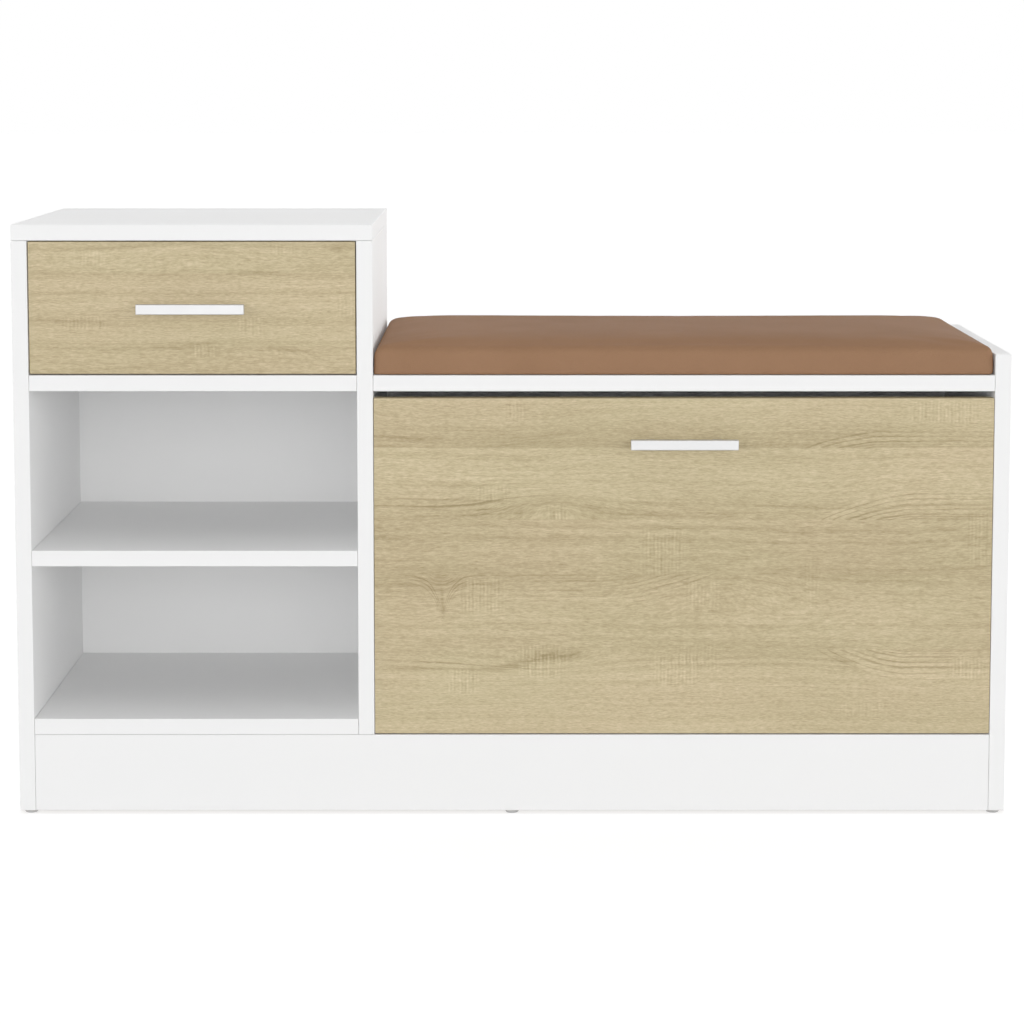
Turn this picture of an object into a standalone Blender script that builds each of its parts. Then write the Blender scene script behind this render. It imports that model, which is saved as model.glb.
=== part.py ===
"""Entryway bench: a drawer and two open shelves on the left, a padded seat over a tip-out flap on
the right, on a closed plinth.

Metres, +Z up. The origin is on the floor, under the middle of the whole object's box (handles
included). The front faces -Y, and +X is to the right of a person who looks at the front.
"""
import math

import bmesh
import bpy

# Driving dimensions.
WIDTH = 0.940
DEPTH = 0.320
BOARD = 0.015            # thickness of every coated board
GLIDE = 0.003            # height of the nail glides under the boards
GLIDE_RADIUS = 0.0063
GLIDE_CHAMFER = 0.0008
GLIDE_INSET = 0.0098     # a corner glide's axis to the outer face of its side
GLIDE_SETBACK = 0.0085   # a corner glide's axis to the front or rear plane
PLINTH = 0.074           # height of the plinth boards
LOWER_OPENING = 0.147    # clear height of the lower open shelf
UPPER_OPENING = 0.152    # clear height of the upper open shelf
DRAWER_OPENING = 0.127   # clear height of the drawer's bay
LEFT_BAY = 0.309         # clear width of the shelves and of the drawer's bay
ARM_RISE = 0.020         # how far the right side stands above the seat board
HANDLE_REACH = 0.020     # how far the handles stand out of the front plane
GAP = 0.0003             # air between pieces that touch
OVERRUN = 0.001          # how far a cutter runs past the face that it opens
BORE_SPARE = 0.0006      # how much deeper a blind bore is than what sits in it
EDGE = 0.0005            # rounding of the boards' edge banding

# Back panels: hardboard, in grooves.
BACK_THICK = 0.003
BACK_INSET = 0.005       # from the rear plane to the back panel's rear face
GROOVE_DEPTH = 0.005
PANEL_BITE = 0.0045      # how far a panel's edge goes into its groove

# Levels along each axis, worked out from the sizes above.
FRONT = -(DEPTH - HANDLE_REACH) / 2
REAR = FRONT + DEPTH
BACK_REAR = REAR - BACK_INSET
BACK_FRONT = BACK_REAR - BACK_THICK
LEFT_OUT = -WIDTH / 2
LEFT_IN = LEFT_OUT + BOARD
PART_LEFT = LEFT_IN + LEFT_BAY
PART_RIGHT = PART_LEFT + BOARD
RIGHT_OUT = WIDTH / 2
RIGHT_IN = RIGHT_OUT - BOARD
BOTTOM = GLIDE + PLINTH                       # underside of the bottom boards
MIDDLE = BOTTOM + BOARD + LOWER_OPENING       # underside of the middle shelf
SEAT = MIDDLE + BOARD + UPPER_OPENING         # underside of the seat board and upper shelf
TOP = SEAT + BOARD + DRAWER_OPENING           # underside of the top board

# Handles: a flat bar on two legs.
HANDLE_LENGTH = 0.1010
HANDLE_HEIGHT = 0.0095
HANDLE_BAR = 0.007       # thickness of the bar, front to back
LEG_SPACING = 0.064
LEG_WIDTH = 0.009
LEG_HEIGHT = 0.007
HANDLE_EDGE = 0.0006
SCREW_RADIUS = 0.0019
SCREW_HOLE = 0.0022
SCREW_HEAD = 0.0040
HEAD_THICK = 0.0022
SCREW_BITE = 0.010       # how far a handle screw goes into its leg

# Drawer.
FRONT_GAP = 0.0012       # air around the drawer front
DRAWER_FOOT_GAP = 0.0015
DRAWER_BOARD = 0.012
DRAWER_SIDE_GAP = 0.0125  # room for a runner on each side
DRAWER_LENGTH = 0.274
DRAWER_SIDE_FOOT = SEAT + BOARD + 0.013
DRAWER_SIDE_HEIGHT = 0.095
DRAWER_BOTTOM_RISE = 0.0085
DRAWER_REAR = FRONT + BOARD + GAP + DRAWER_LENGTH
DRAWER_FRONT_FOOT = SEAT + BOARD + DRAWER_FOOT_GAP
DRAWER_FRONT_HEAD = TOP - FRONT_GAP

# Roller runners, one pair each side of the drawer.
STEEL = 0.0012
ROLLER_RADIUS = 0.008
ROLLER_WIDTH = 0.006
ROLLER_BORE = 0.0021
RING_CHAMFER = 0.0003
AXLE_RADIUS = 0.0020
AXLE_HEAD = 0.0034
AXLE_CAP = 0.0009          # thickness of an axle's head
ROLLER_AIR = 0.0010        # from a roller's side to the rail behind it
ROLLER_PLAY = 0.0006       # from a roller's other side to its axle's head
RAIL_FLANGE = 0.009
FLANGE_AIR = 0.0010        # between the drawer rail's flange and the channel around it
RAIL_FOOT = SEAT + BOARD + 0.009
RAIL_FRONT = FRONT + BOARD + 0.0035
RAIL_LENGTH = 0.275
DRAWER_RAIL_FRONT = FRONT + BOARD + 0.0015
ROLLER_AXIS = RAIL_FOOT + STEEL + GAP + ROLLER_RADIUS
FRONT_ROLLER = FRONT + 0.029      # on the cabinet rail
REAR_ROLLER = FRONT_ROLLER + 0.250  # on the drawer rail, drawer closed

# Tip-out flap: it turns on two pins in its end edges.
FLAP_SIDE_GAP = 0.0006            # air beside the flap
FLAP_FOOT = BOTTOM + 0.0011       # its front corner dips 0.93 mm as it turns
FLAP_HEAD = SEAT - 0.0068
FLAP_HANDLE_DROP = 0.0420         # from the flap's head to the handle's middle
PIVOT_Y = FRONT + BOARD / 2
PIVOT_Z = FLAP_FOOT + 0.0299
PIN_RADIUS = 0.0025
PIN_HOLE = 0.0028
PIN_BITE = 0.018                  # pin inside the flap
PIN_REACH = 0.0085                # pin inside the bush
BUSH_RADIUS = 0.0050
BUSH_BORE = 0.0026
BUSH_HOLE = 0.0053
BUSH_LENGTH = 0.0095
BOTTOM_SETBACK = 0.040            # lets the flap's foot swing in

# Shoe rack behind the flap: two cheeks and two trays.
CHEEK_THICK = 0.003
CHEEK_CLEAR = 0.010               # air between a cheek and the board beside it
CHEEK_RADIUS = 0.272
CHEEK_HEAD = 0.262                # above the pivot
CHEEK_FOOT = -0.006
FLANGE_WIDTH = 0.0085
TRAYS = (("rack_lower_tray", -0.004, 0.255),   # height above and reach behind the pivot
         ("rack_upper_tray", 0.132, 0.215))
TRAY_THICK = 0.003
TRAY_LIP = 0.012
TENON_DEPTHS = (0.25, 0.75)       # places of a tray's end tenons, as shares of its depth
TENON_WIDTH = 0.020
STUD_RADIUS = 0.003
STUD_HEIGHTS = (0.040, 0.215)     # above the pivot
STUD_LENGTH = 0.008
PEG_RADIUS = 0.003
PEG_BITE = 0.008                  # peg inside its board
PEG_PAST = 0.001                  # peg past its cheek's inner face
PEG_ORBIT = 0.120                 # stop peg's distance from the pivot
PEG_ANGLE = math.radians(80)      # its angle above the horizontal, flap closed
SLOT_HALF = 0.0034
FLAP_SWING = math.radians(46)

# Seat cushion.
CUSHION_SIDE_GAP = 0.001
CUSHION_HEIGHT = 0.0322
CUSHION_ROUND = 0.012
COVER_THICK = 0.001
PAD_BASE = 0.005
CUSHION_REAR_GAP = 0.003
BASE_SCREW_BITE = 0.004
CUSHION_SCREW_X = 0.200
CUSHION_SCREW_Y = 0.090

ROD_SIDES = 16
TURNED_STEPS = 24


def clear_scene():
    for item in list(bpy.data.objects):
        bpy.data.objects.remove(item, do_unlink=True)


clear_scene()
PARTS = bpy.data.collections.new("entryway_bench")
TOOLS = bpy.data.collections.new("cutters")
for group in (PARTS, TOOLS):
    bpy.context.scene.collection.children.link(group)


def finish(name, colour, roughness, metallic=0.0):
    """A plain Principled material."""
    material = bpy.data.materials.new(name)
    material.use_nodes = True
    shader = material.node_tree.nodes["Principled BSDF"]
    shader.inputs["Base Color"].default_value = (*colour, 1.0)
    shader.inputs["Roughness"].default_value = roughness
    shader.inputs["Metallic"].default_value = metallic
    material.diffuse_color = (*colour, 1.0)
    return material


WHITE = finish("white_board", (0.86, 0.86, 0.86), 0.45)
OAK = finish("oak_board", (0.56, 0.47, 0.28), 0.55)
HARDBOARD = finish("white_hardboard", (0.80, 0.80, 0.80), 0.60)
FIBREBOARD = finish("fibreboard", (0.42, 0.30, 0.19), 0.80)
HANDLE_METAL = finish("satin_nickel", (0.70, 0.70, 0.71), 0.35, 1.0)
STEEL_WHITE = finish("steel_white", (0.82, 0.82, 0.82), 0.40)
ZINC = finish("zinc", (0.62, 0.63, 0.65), 0.35, 1.0)
ROLLER_PLASTIC = finish("roller_plastic", (0.90, 0.90, 0.88), 0.35)
RACK_PLASTIC = finish("rack_plastic", (0.06, 0.06, 0.06), 0.50)
GLIDE_PLASTIC = finish("glide_plastic", (0.35, 0.35, 0.35), 0.50)
LEATHER = finish("brown_leather", (0.32, 0.19, 0.11), 0.50)
FOAM = finish("foam", (0.85, 0.80, 0.62), 0.95)


def guide_point(name, place):
    """An empty on a joint's axis."""
    empty = bpy.data.objects.new(name, None)
    empty.location = place
    PARTS.objects.link(empty)
    return empty


def add_object(name, mesh, centre, material, parent):
    """Link a mesh as a part, or as a cutter when it has no material."""
    item = bpy.data.objects.new(name, mesh)
    item.location = centre
    if parent is not None:
        item.parent = parent
        item.location = [here - base for here, base in zip(centre, parent.location)]
    if material is None:
        TOOLS.objects.link(item)
        item.hide_render = True
        item.display_type = "WIRE"
    else:
        PARTS.objects.link(item)
        mesh.materials.append(material)
    return item


def round_edges(item, width, segments):
    bevel = item.modifiers.new("round_edges", "BEVEL")
    bevel.width = width
    bevel.segments = segments
    bevel.limit_method = "ANGLE"


def box(name, low, high, material=None, parent=None, edge=0.0):
    """A box between two corners."""
    mesh = bpy.data.meshes.new(name)
    shape = bmesh.new()
    bmesh.ops.create_cube(shape, size=1.0)
    bmesh.ops.scale(shape, vec=[b - a for a, b in zip(low, high)], verts=shape.verts)
    shape.to_mesh(mesh)
    shape.free()
    item = add_object(name, mesh, [(a + b) / 2 for a, b in zip(low, high)], material, parent)
    if edge:
        round_edges(item, edge, 2)
    return item


def rod(name, start, end, radius, material=None, parent=None):
    """A cylinder between two points on a line along X, Y or Z."""
    length = sum(abs(b - a) for a, b in zip(start, end))
    axis = max(range(3), key=lambda i: abs(end[i] - start[i]))
    mesh = bpy.data.meshes.new(name)
    shape = bmesh.new()
    bmesh.ops.create_cone(shape, cap_ends=True, segments=ROD_SIDES, radius1=radius,
                          radius2=radius, depth=length)
    shape.to_mesh(mesh)
    shape.free()
    item = add_object(name, mesh, [(a + b) / 2 for a, b in zip(start, end)], material, parent)
    turn_z_to(item, axis)
    mesh.shade_smooth()
    mesh.set_sharp_from_angle(angle=math.radians(30))
    return item


def turn_z_to(item, axis, flip=False):
    """Point an object's own Z along X (0), Y (1) or Z (2), or the other way."""
    quarter = math.pi / 2
    turns = ((0, quarter, 0), (-quarter, 0, 0), (0, 0, 0))
    flipped = ((0, -quarter, 0), (quarter, 0, 0), (math.pi, 0, 0))
    item.rotation_euler = flipped[axis] if flip else turns[axis]


def turned(name, profile, centre, axis, material, parent=None, flip=False, closed=False,
           steps=TURNED_STEPS):
    """A turned solid: (radius, height) points from the top down, swept around its own Z."""
    mesh = bpy.data.meshes.new(name)
    shape = bmesh.new()
    points = [shape.verts.new((radius, 0.0, height)) for radius, height in profile]
    for one, other in zip(points, points[1:]):
        shape.edges.new((one, other))
    if closed:
        shape.edges.new((points[-1], points[0]))
    shape.to_mesh(mesh)
    shape.free()
    item = add_object(name, mesh, centre, material, parent)
    turn_z_to(item, axis, flip)
    screw = item.modifiers.new("turn", "SCREW")
    screw.steps = steps
    screw.render_steps = steps
    screw.use_merge_vertices = True
    screw.merge_threshold = 0.00001
    return item


def ring(name, bore, radius, width, centre, material, parent=None, chamfer=RING_CHAMFER):
    """A ring around a line along X, with its outer corners broken."""
    half = width / 2
    profile = [(bore, half), (radius - chamfer, half), (radius, half - chamfer),
               (radius, chamfer - half), (radius - chamfer, -half), (bore, -half)]
    return turned(name, profile, centre, 0, material, parent, closed=True)


def screw_profile(shank_radius, shank_length, head_radius):
    """A pan-head screw, its head up and the head's underside at height 0."""
    crown = 0.6 * head_radius
    return [(0.0, HEAD_THICK), (crown, HEAD_THICK), (head_radius, 0.4 * HEAD_THICK),
            (head_radius, 0.0), (shank_radius, 0.0), (shank_radius, -shank_length),
            (0.0, -shank_length)]


def combine(item, tool, operation):
    step = item.modifiers.new(operation.lower(), "BOOLEAN")
    step.operation = operation
    step.solver = "EXACT"
    step.object = tool


def cut(item, tool):
    combine(item, tool, "DIFFERENCE")


def weld_on(item, tool):
    combine(item, tool, "UNION")


def plate(name, outline, x_centre, thickness, material=None, parent=None):
    """A flat plate across X, from (y, z) points counted from the flap's pivot."""
    curve = bpy.data.curves.new(name + "_outline", "CURVE")
    curve.dimensions = "2D"
    curve.fill_mode = "BOTH"
    curve.extrude = thickness / 2
    spline = curve.splines.new("POLY")
    spline.points.add(len(outline) - 1)
    for point, (y, z) in zip(spline.points, outline):
        point.co = (y, z, 0.0, 1.0)
    spline.use_cyclic_u = True
    drawn = bpy.data.objects.new(name + "_drawn", curve)
    TOOLS.objects.link(drawn)
    scene_now = bpy.context.evaluated_depsgraph_get()
    mesh = bpy.data.meshes.new_from_object(drawn.evaluated_get(scene_now))
    bpy.data.objects.remove(drawn)
    shape = bmesh.new()
    shape.from_mesh(mesh)
    bmesh.ops.remove_doubles(shape, verts=shape.verts, dist=0.00001)
    bmesh.ops.recalc_face_normals(shape, faces=shape.faces)
    shape.to_mesh(mesh)
    shape.free()
    item = add_object(name, mesh, (x_centre, PIVOT_Y, PIVOT_Z), material, parent)
    item.rotation_euler = (math.pi / 2, 0.0, math.pi / 2)
    return item


def arc(radius, start, end, steps, centre=(0.0, 0.0)):
    """Points on an arc, both ends included."""
    angles = [start + (end - start) * i / steps for i in range(steps + 1)]
    return [(centre[0] + radius * math.cos(a), centre[1] + radius * math.sin(a)) for a in angles]


# Carcass ------------------------------------------------------------------------------------

def back_groove(name, left, right, foot, head):
    """The cutter of a back panel's groove: it is as thick as the panel with its slack."""
    return box(name, (left, BACK_FRONT - GAP, foot),
               (right, BACK_REAR + GAP, head))


def side_boards():
    left = box("left_side_panel", (LEFT_OUT, FRONT, GLIDE), (LEFT_IN, REAR, TOP - GAP),
               WHITE, edge=EDGE)
    cut(left, back_groove("left_side_groove", LEFT_IN - GROOVE_DEPTH, LEFT_IN + BOARD,
                          BOTTOM - GAP, TOP + BOARD))
    divider = box("middle_partition", (PART_LEFT, FRONT, BOTTOM), (PART_RIGHT, REAR, TOP - GAP),
                  WHITE, edge=EDGE)
    cut(divider, back_groove("divider_left_groove", PART_LEFT - BOARD, PART_LEFT + GROOVE_DEPTH,
                             BOTTOM - BOARD, TOP + BOARD))
    cut(divider, back_groove("divider_right_groove", PART_RIGHT - GROOVE_DEPTH,
                             PART_RIGHT + BOARD, BOTTOM - BOARD, SEAT + GROOVE_DEPTH))
    right = box("right_side_panel", (RIGHT_IN, FRONT, GLIDE),
                (RIGHT_OUT, REAR, SEAT + BOARD + ARM_RISE), WHITE, edge=EDGE)
    cut(right, back_groove("right_side_groove", RIGHT_IN - BOARD, RIGHT_IN + GROOVE_DEPTH,
                           BOTTOM - GAP, SEAT + GROOVE_DEPTH))
    for board, face, side in ((divider, PART_RIGHT, -1), (right, RIGHT_IN, 1)):
        hole = rod(board.name + "_bush_hole", (face - side * OVERRUN, PIVOT_Y, PIVOT_Z),
                   (face + side * (BUSH_LENGTH + BORE_SPARE), PIVOT_Y, PIVOT_Z), BUSH_HOLE)
        cut(board, hole)
        y, z = peg_place()
        cut(board, rod(board.name + "_peg_hole", (face - side * OVERRUN, y, z),
                       (face + side * (PEG_BITE + GAP), y, z), PEG_RADIUS + GAP))


def level_boards():
    top = box("top_panel", (LEFT_OUT, FRONT, TOP), (PART_RIGHT, REAR, TOP + BOARD),
              WHITE, edge=EDGE)
    cut(top, back_groove("top_groove", LEFT_IN - GROOVE_DEPTH, PART_LEFT + GROOVE_DEPTH,
                         TOP - BOARD, TOP + GROOVE_DEPTH))
    for name, level in (("upper_shelf", SEAT), ("middle_shelf", MIDDLE),
                        ("left_bottom_panel", BOTTOM)):
        box(name, (LEFT_IN + GAP, FRONT, level),
            (PART_LEFT - GAP, BACK_FRONT - GAP, level + BOARD), WHITE, edge=EDGE)
    box("right_bottom_panel", (PART_RIGHT + GAP, FRONT + BOTTOM_SETBACK, BOTTOM),
        (RIGHT_IN - GAP, BACK_FRONT - GAP, BOTTOM + BOARD), WHITE, edge=EDGE)
    seat = box("seat_board", (PART_RIGHT + GAP, FRONT, SEAT),
               (RIGHT_IN - GAP, REAR, SEAT + BOARD), WHITE, edge=EDGE)
    cut(seat, back_groove("seat_groove", PART_RIGHT - BOARD, RIGHT_IN + BOARD,
                          SEAT - BOARD, SEAT + GROOVE_DEPTH))
    for index, (x, y) in enumerate(cushion_screw_places()):
        cut(seat, rod(f"seat_screw_hole_{index}", (x, y, SEAT - OVERRUN),
                      (x, y, SEAT + BOARD + OVERRUN), SCREW_HOLE))


def plinth_boards():
    head = BOTTOM - GAP
    box("front_plinth", (LEFT_IN + GAP, FRONT, GLIDE), (RIGHT_IN - GAP, FRONT + BOARD, head),
        WHITE, edge=EDGE)
    box("rear_plinth", (LEFT_IN + GAP, BACK_FRONT - GAP - BOARD, GLIDE),
        (RIGHT_IN - GAP, BACK_FRONT - GAP, head), WHITE, edge=EDGE)


def back_panels():
    for name, left, right, head in (("left_back_panel", LEFT_IN, PART_LEFT, TOP),
                                    ("right_back_panel", PART_RIGHT, RIGHT_IN, SEAT)):
        box(name, (left - PANEL_BITE, BACK_FRONT, BOTTOM),
            (right + PANEL_BITE, BACK_REAR, head + PANEL_BITE), HARDBOARD)


def glides():
    """Six nail glides, one at each end and the middle of the front and of the rear."""
    height = GLIDE - GAP
    profile = [(0.0, height), (GLIDE_RADIUS, height), (GLIDE_RADIUS, GLIDE_CHAMFER),
               (GLIDE_RADIUS - GLIDE_CHAMFER, 0.0), (0.0, 0.0)]
    outer = WIDTH / 2 - GLIDE_INSET
    rows = (("front", FRONT + GLIDE_SETBACK, FRONT + BOARD / 2),
            ("rear", REAR - GLIDE_SETBACK, BACK_FRONT - GAP - BOARD / 2))
    for row, y_side, y_middle in rows:
        for side, x, y in (("left", -outer, y_side), ("middle", 0.0, y_middle),
                           ("right", outer, y_side)):
            turned(f"glide_{row}_{side}", profile, (x, y, 0.0), 2, GLIDE_PLASTIC)


# Cushion ------------------------------------------------------------------------------------

def cushion_screw_places():
    middle_x = (PART_RIGHT + RIGHT_IN) / 2
    middle_y = (FRONT + REAR) / 2
    return [(middle_x + side * CUSHION_SCREW_X, middle_y + row * CUSHION_SCREW_Y)
            for side in (-1, 1) for row in (-1, 1)]


def soft_box(name, low, high, radius, material=None):
    """A box whose upper edges and upright corners are well rounded."""
    item = box(name, low, high, material)
    shape = bmesh.new()
    shape.from_mesh(item.data)
    soft = [edge for edge in shape.edges if max(point.co.z for point in edge.verts) > 0]
    bmesh.ops.bevel(shape, geom=soft, offset=radius, segments=3, profile=0.5,
                    affect="EDGES", clamp_overlap=True)
    shape.to_mesh(item.data)
    shape.free()
    return item


def cushion():
    """A fibreboard base and a foam pad inside a cover that is open below, screwed from below."""
    low = (PART_RIGHT + CUSHION_SIDE_GAP, FRONT, SEAT + BOARD + GAP)
    high = (RIGHT_IN - CUSHION_SIDE_GAP, REAR - CUSHION_REAR_GAP,
            SEAT + BOARD + GAP + CUSHION_HEIGHT)
    inset = COVER_THICK
    cover = soft_box("cushion_cover", low, high, CUSHION_ROUND, LEATHER)
    hollow = soft_box("cushion_hollow",
                      (low[0] + inset, low[1] + inset, low[2] - OVERRUN),
                      (high[0] - inset, high[1] - inset, high[2] - inset),
                      CUSHION_ROUND - inset)
    cut(cover, hollow)
    inset = COVER_THICK + GAP
    soft_box("cushion_foam", (low[0] + inset, low[1] + inset, low[2] + PAD_BASE + GAP),
             (high[0] - inset, high[1] - inset, high[2] - inset), CUSHION_ROUND - inset, FOAM)
    base_edge = CUSHION_ROUND / 2
    base = box("cushion_base", (low[0] + base_edge, low[1] + base_edge, low[2]),
               (high[0] - base_edge, high[1] - base_edge, low[2] + PAD_BASE), FIBREBOARD)
    shank = GAP + BOARD + BASE_SCREW_BITE
    profile = screw_profile(SCREW_RADIUS, shank, SCREW_HEAD)
    for index, (x, y) in enumerate(cushion_screw_places(), start=1):
        cut(base, rod(f"base_screw_hole_{index}", (x, y, low[2] - OVERRUN),
                      (x, y, SEAT + BOARD + BASE_SCREW_BITE + GAP), SCREW_HOLE))
        turned(f"cushion_screw_{index}", profile, (x, y, SEAT - GAP), 2, ZINC, flip=True,
               steps=ROD_SIDES)


# Handles ------------------------------------------------------------------------------------

def handle_screw_x(x_middle):
    return (x_middle - LEG_SPACING / 2, x_middle + LEG_SPACING / 2)


def handle(prefix, x_middle, z_middle, board, parent):
    """A bar on two legs, held by a screw through the board into each leg."""
    half = HANDLE_LENGTH / 2
    rise = HANDLE_HEIGHT / 2
    bar_rear = FRONT - HANDLE_REACH + HANDLE_BAR
    bar = box(f"{prefix}_handle", (x_middle - half, FRONT - HANDLE_REACH, z_middle - rise),
              (x_middle + half, bar_rear, z_middle + rise), HANDLE_METAL, parent)
    shank = BOARD + GAP + SCREW_BITE
    profile = screw_profile(SCREW_RADIUS, shank, SCREW_HEAD)
    legs = []
    for index, x in enumerate(handle_screw_x(x_middle), start=1):
        leg = box(f"{prefix}_handle_leg_{index}",
                  (x - LEG_WIDTH / 2, bar_rear - HANDLE_BAR / 2, z_middle - LEG_HEIGHT / 2),
                  (x + LEG_WIDTH / 2, FRONT - GAP, z_middle + LEG_HEIGHT / 2))
        legs.append(leg)
        weld_on(bar, leg)
    round_edges(bar, HANDLE_EDGE, 2)
    for index, x in enumerate(handle_screw_x(x_middle), start=1):
        bore_end = FRONT - GAP - SCREW_BITE - BORE_SPARE
        cut(bar, rod(f"{prefix}_leg_bore_{index}", (x, bore_end, z_middle),
                     (x, FRONT + OVERRUN, z_middle), SCREW_HOLE))
        cut(board, rod(f"{prefix}_board_bore_{index}", (x, FRONT - OVERRUN, z_middle),
                       (x, FRONT + BOARD + OVERRUN, z_middle), SCREW_HOLE))
        turned(f"{prefix}_handle_screw_{index}", profile, (x, FRONT + BOARD + GAP, z_middle), 1,
               ZINC, parent, steps=ROD_SIDES)


# Drawer -------------------------------------------------------------------------------------

def drawer():
    axis = guide_point("drawer_slide_axis", ((LEFT_IN + PART_LEFT) / 2, FRONT, ROLLER_AXIS))
    rear_of_front = FRONT + BOARD
    front = box("drawer_front", (LEFT_IN + FRONT_GAP, FRONT, DRAWER_FRONT_FOOT),
                (PART_LEFT - FRONT_GAP, rear_of_front, DRAWER_FRONT_HEAD), OAK, axis, EDGE)
    side_outer = {-1: LEFT_IN + DRAWER_SIDE_GAP, 1: PART_LEFT - DRAWER_SIDE_GAP}
    head = DRAWER_SIDE_FOOT + DRAWER_SIDE_HEIGHT
    floor = DRAWER_SIDE_FOOT + DRAWER_BOTTOM_RISE
    inner_left = side_outer[-1] + DRAWER_BOARD
    inner_right = side_outer[1] - DRAWER_BOARD
    slot = box("drawer_bottom_groove",
               (inner_left - GROOVE_DEPTH, rear_of_front - GROOVE_DEPTH, floor - GAP),
               (inner_right + GROOVE_DEPTH, DRAWER_REAR + BOARD,
                floor + BACK_THICK + GAP))
    cut(front, slot)
    for name, side in (("drawer_left_side", -1), ("drawer_right_side", 1)):
        outer = side_outer[side]
        x_pair = sorted((outer, outer - side * DRAWER_BOARD))
        wall = box(name, (x_pair[0], rear_of_front + GAP, DRAWER_SIDE_FOOT),
                   (x_pair[1], DRAWER_REAR, head), WHITE, axis, EDGE)
        cut(wall, slot)
    bottom_head = floor + BACK_THICK
    box("drawer_back", (inner_left + GAP, DRAWER_REAR - DRAWER_BOARD, bottom_head + GAP),
        (inner_right - GAP, DRAWER_REAR, head), WHITE, axis, EDGE)
    box("drawer_bottom", (inner_left - PANEL_BITE, rear_of_front - PANEL_BITE, floor),
        (inner_right + PANEL_BITE, DRAWER_REAR, bottom_head), HARDBOARD, axis)
    handle("drawer", (LEFT_IN + PART_LEFT) / 2, (DRAWER_FRONT_FOOT + DRAWER_FRONT_HEAD) / 2,
           front, axis)
    runners(axis)


def axle(name, side, base, face, y):
    """A roller's axle with a head, as one tool to weld on a rail, along X from base to face."""
    stem = rod(name, (base, y, ROLLER_AXIS), (face, y, ROLLER_AXIS), AXLE_RADIUS)
    cap = rod(name + "_head", (face - side * AXLE_CAP / 3, y, ROLLER_AXIS),
              (face + side * AXLE_CAP * 2 / 3, y, ROLLER_AXIS), AXLE_HEAD)
    return stem, cap


def runners(axis):
    """Roller runners: a channel on the board, an angle on the drawer, and a roller on each."""
    flange_foot = RAIL_FOOT + STEEL + 2 * ROLLER_RADIUS + 2 * GAP
    channel_head = flange_foot + STEEL + FLANGE_AIR
    rail_rear = RAIL_FRONT + RAIL_LENGTH
    for name, wall, side in (("left", LEFT_IN, 1), ("right", PART_LEFT, -1)):
        web = wall + side * GAP
        web_in = web + side * STEEL
        tip = web_in + side * RAIL_FLANGE
        rail = slab(f"cabinet_rail_{name}", web, web_in, RAIL_FRONT, rail_rear,
                    RAIL_FOOT, channel_head + STEEL, STEEL_WHITE)
        for level, foot in (("foot", RAIL_FOOT), ("head", channel_head)):
            weld_on(rail, slab(f"cabinet_rail_{name}_{level}", web, tip, RAIL_FRONT, rail_rear,
                               foot, foot + STEEL))
        drawer_face = wall + side * DRAWER_SIDE_GAP
        angle = drawer_face - side * GAP
        angle_out = angle - side * STEEL
        drawer_rail = slab(f"drawer_rail_{name}", angle_out, angle, DRAWER_RAIL_FRONT,
                           DRAWER_REAR, DRAWER_SIDE_FOOT, flange_foot + STEEL, STEEL_WHITE, axis)
        weld_on(drawer_rail, slab(f"drawer_rail_{name}_flange", angle,
                                  web_in + side * FLANGE_AIR, DRAWER_RAIL_FRONT, DRAWER_REAR,
                                  flange_foot, flange_foot + STEEL))
        half = ROLLER_WIDTH / 2
        front_middle = web_in + side * (ROLLER_AIR + half)
        for tool in axle(f"front_axle_{name}", side, web,
                         front_middle + side * (half + ROLLER_PLAY), FRONT_ROLLER):
            weld_on(rail, tool)
        ring(f"front_roller_{name}", ROLLER_BORE, ROLLER_RADIUS, ROLLER_WIDTH,
             (front_middle, FRONT_ROLLER, ROLLER_AXIS), ROLLER_PLASTIC)
        rear_middle = angle_out - side * (ROLLER_AIR + half)
        for tool in axle(f"rear_axle_{name}", -side, angle,
                         rear_middle - side * (half + ROLLER_PLAY), REAR_ROLLER):
            weld_on(drawer_rail, tool)
        ring(f"rear_roller_{name}", ROLLER_BORE, ROLLER_RADIUS, ROLLER_WIDTH,
             (rear_middle, REAR_ROLLER, ROLLER_AXIS), ROLLER_PLASTIC, axis)


def slab(name, x_one, x_other, front, rear, foot, head, material=None, parent=None):
    """A box whose two X faces may come in either order."""
    return box(name, (min(x_one, x_other), front, foot), (max(x_one, x_other), rear, head),
               material, parent)


# Tip-out flap -------------------------------------------------------------------------------

def peg_place():
    """Where the stop pegs stand, in Y and Z."""
    return (PIVOT_Y + PEG_ORBIT * math.cos(PEG_ANGLE), PIVOT_Z + PEG_ORBIT * math.sin(PEG_ANGLE))


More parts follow.
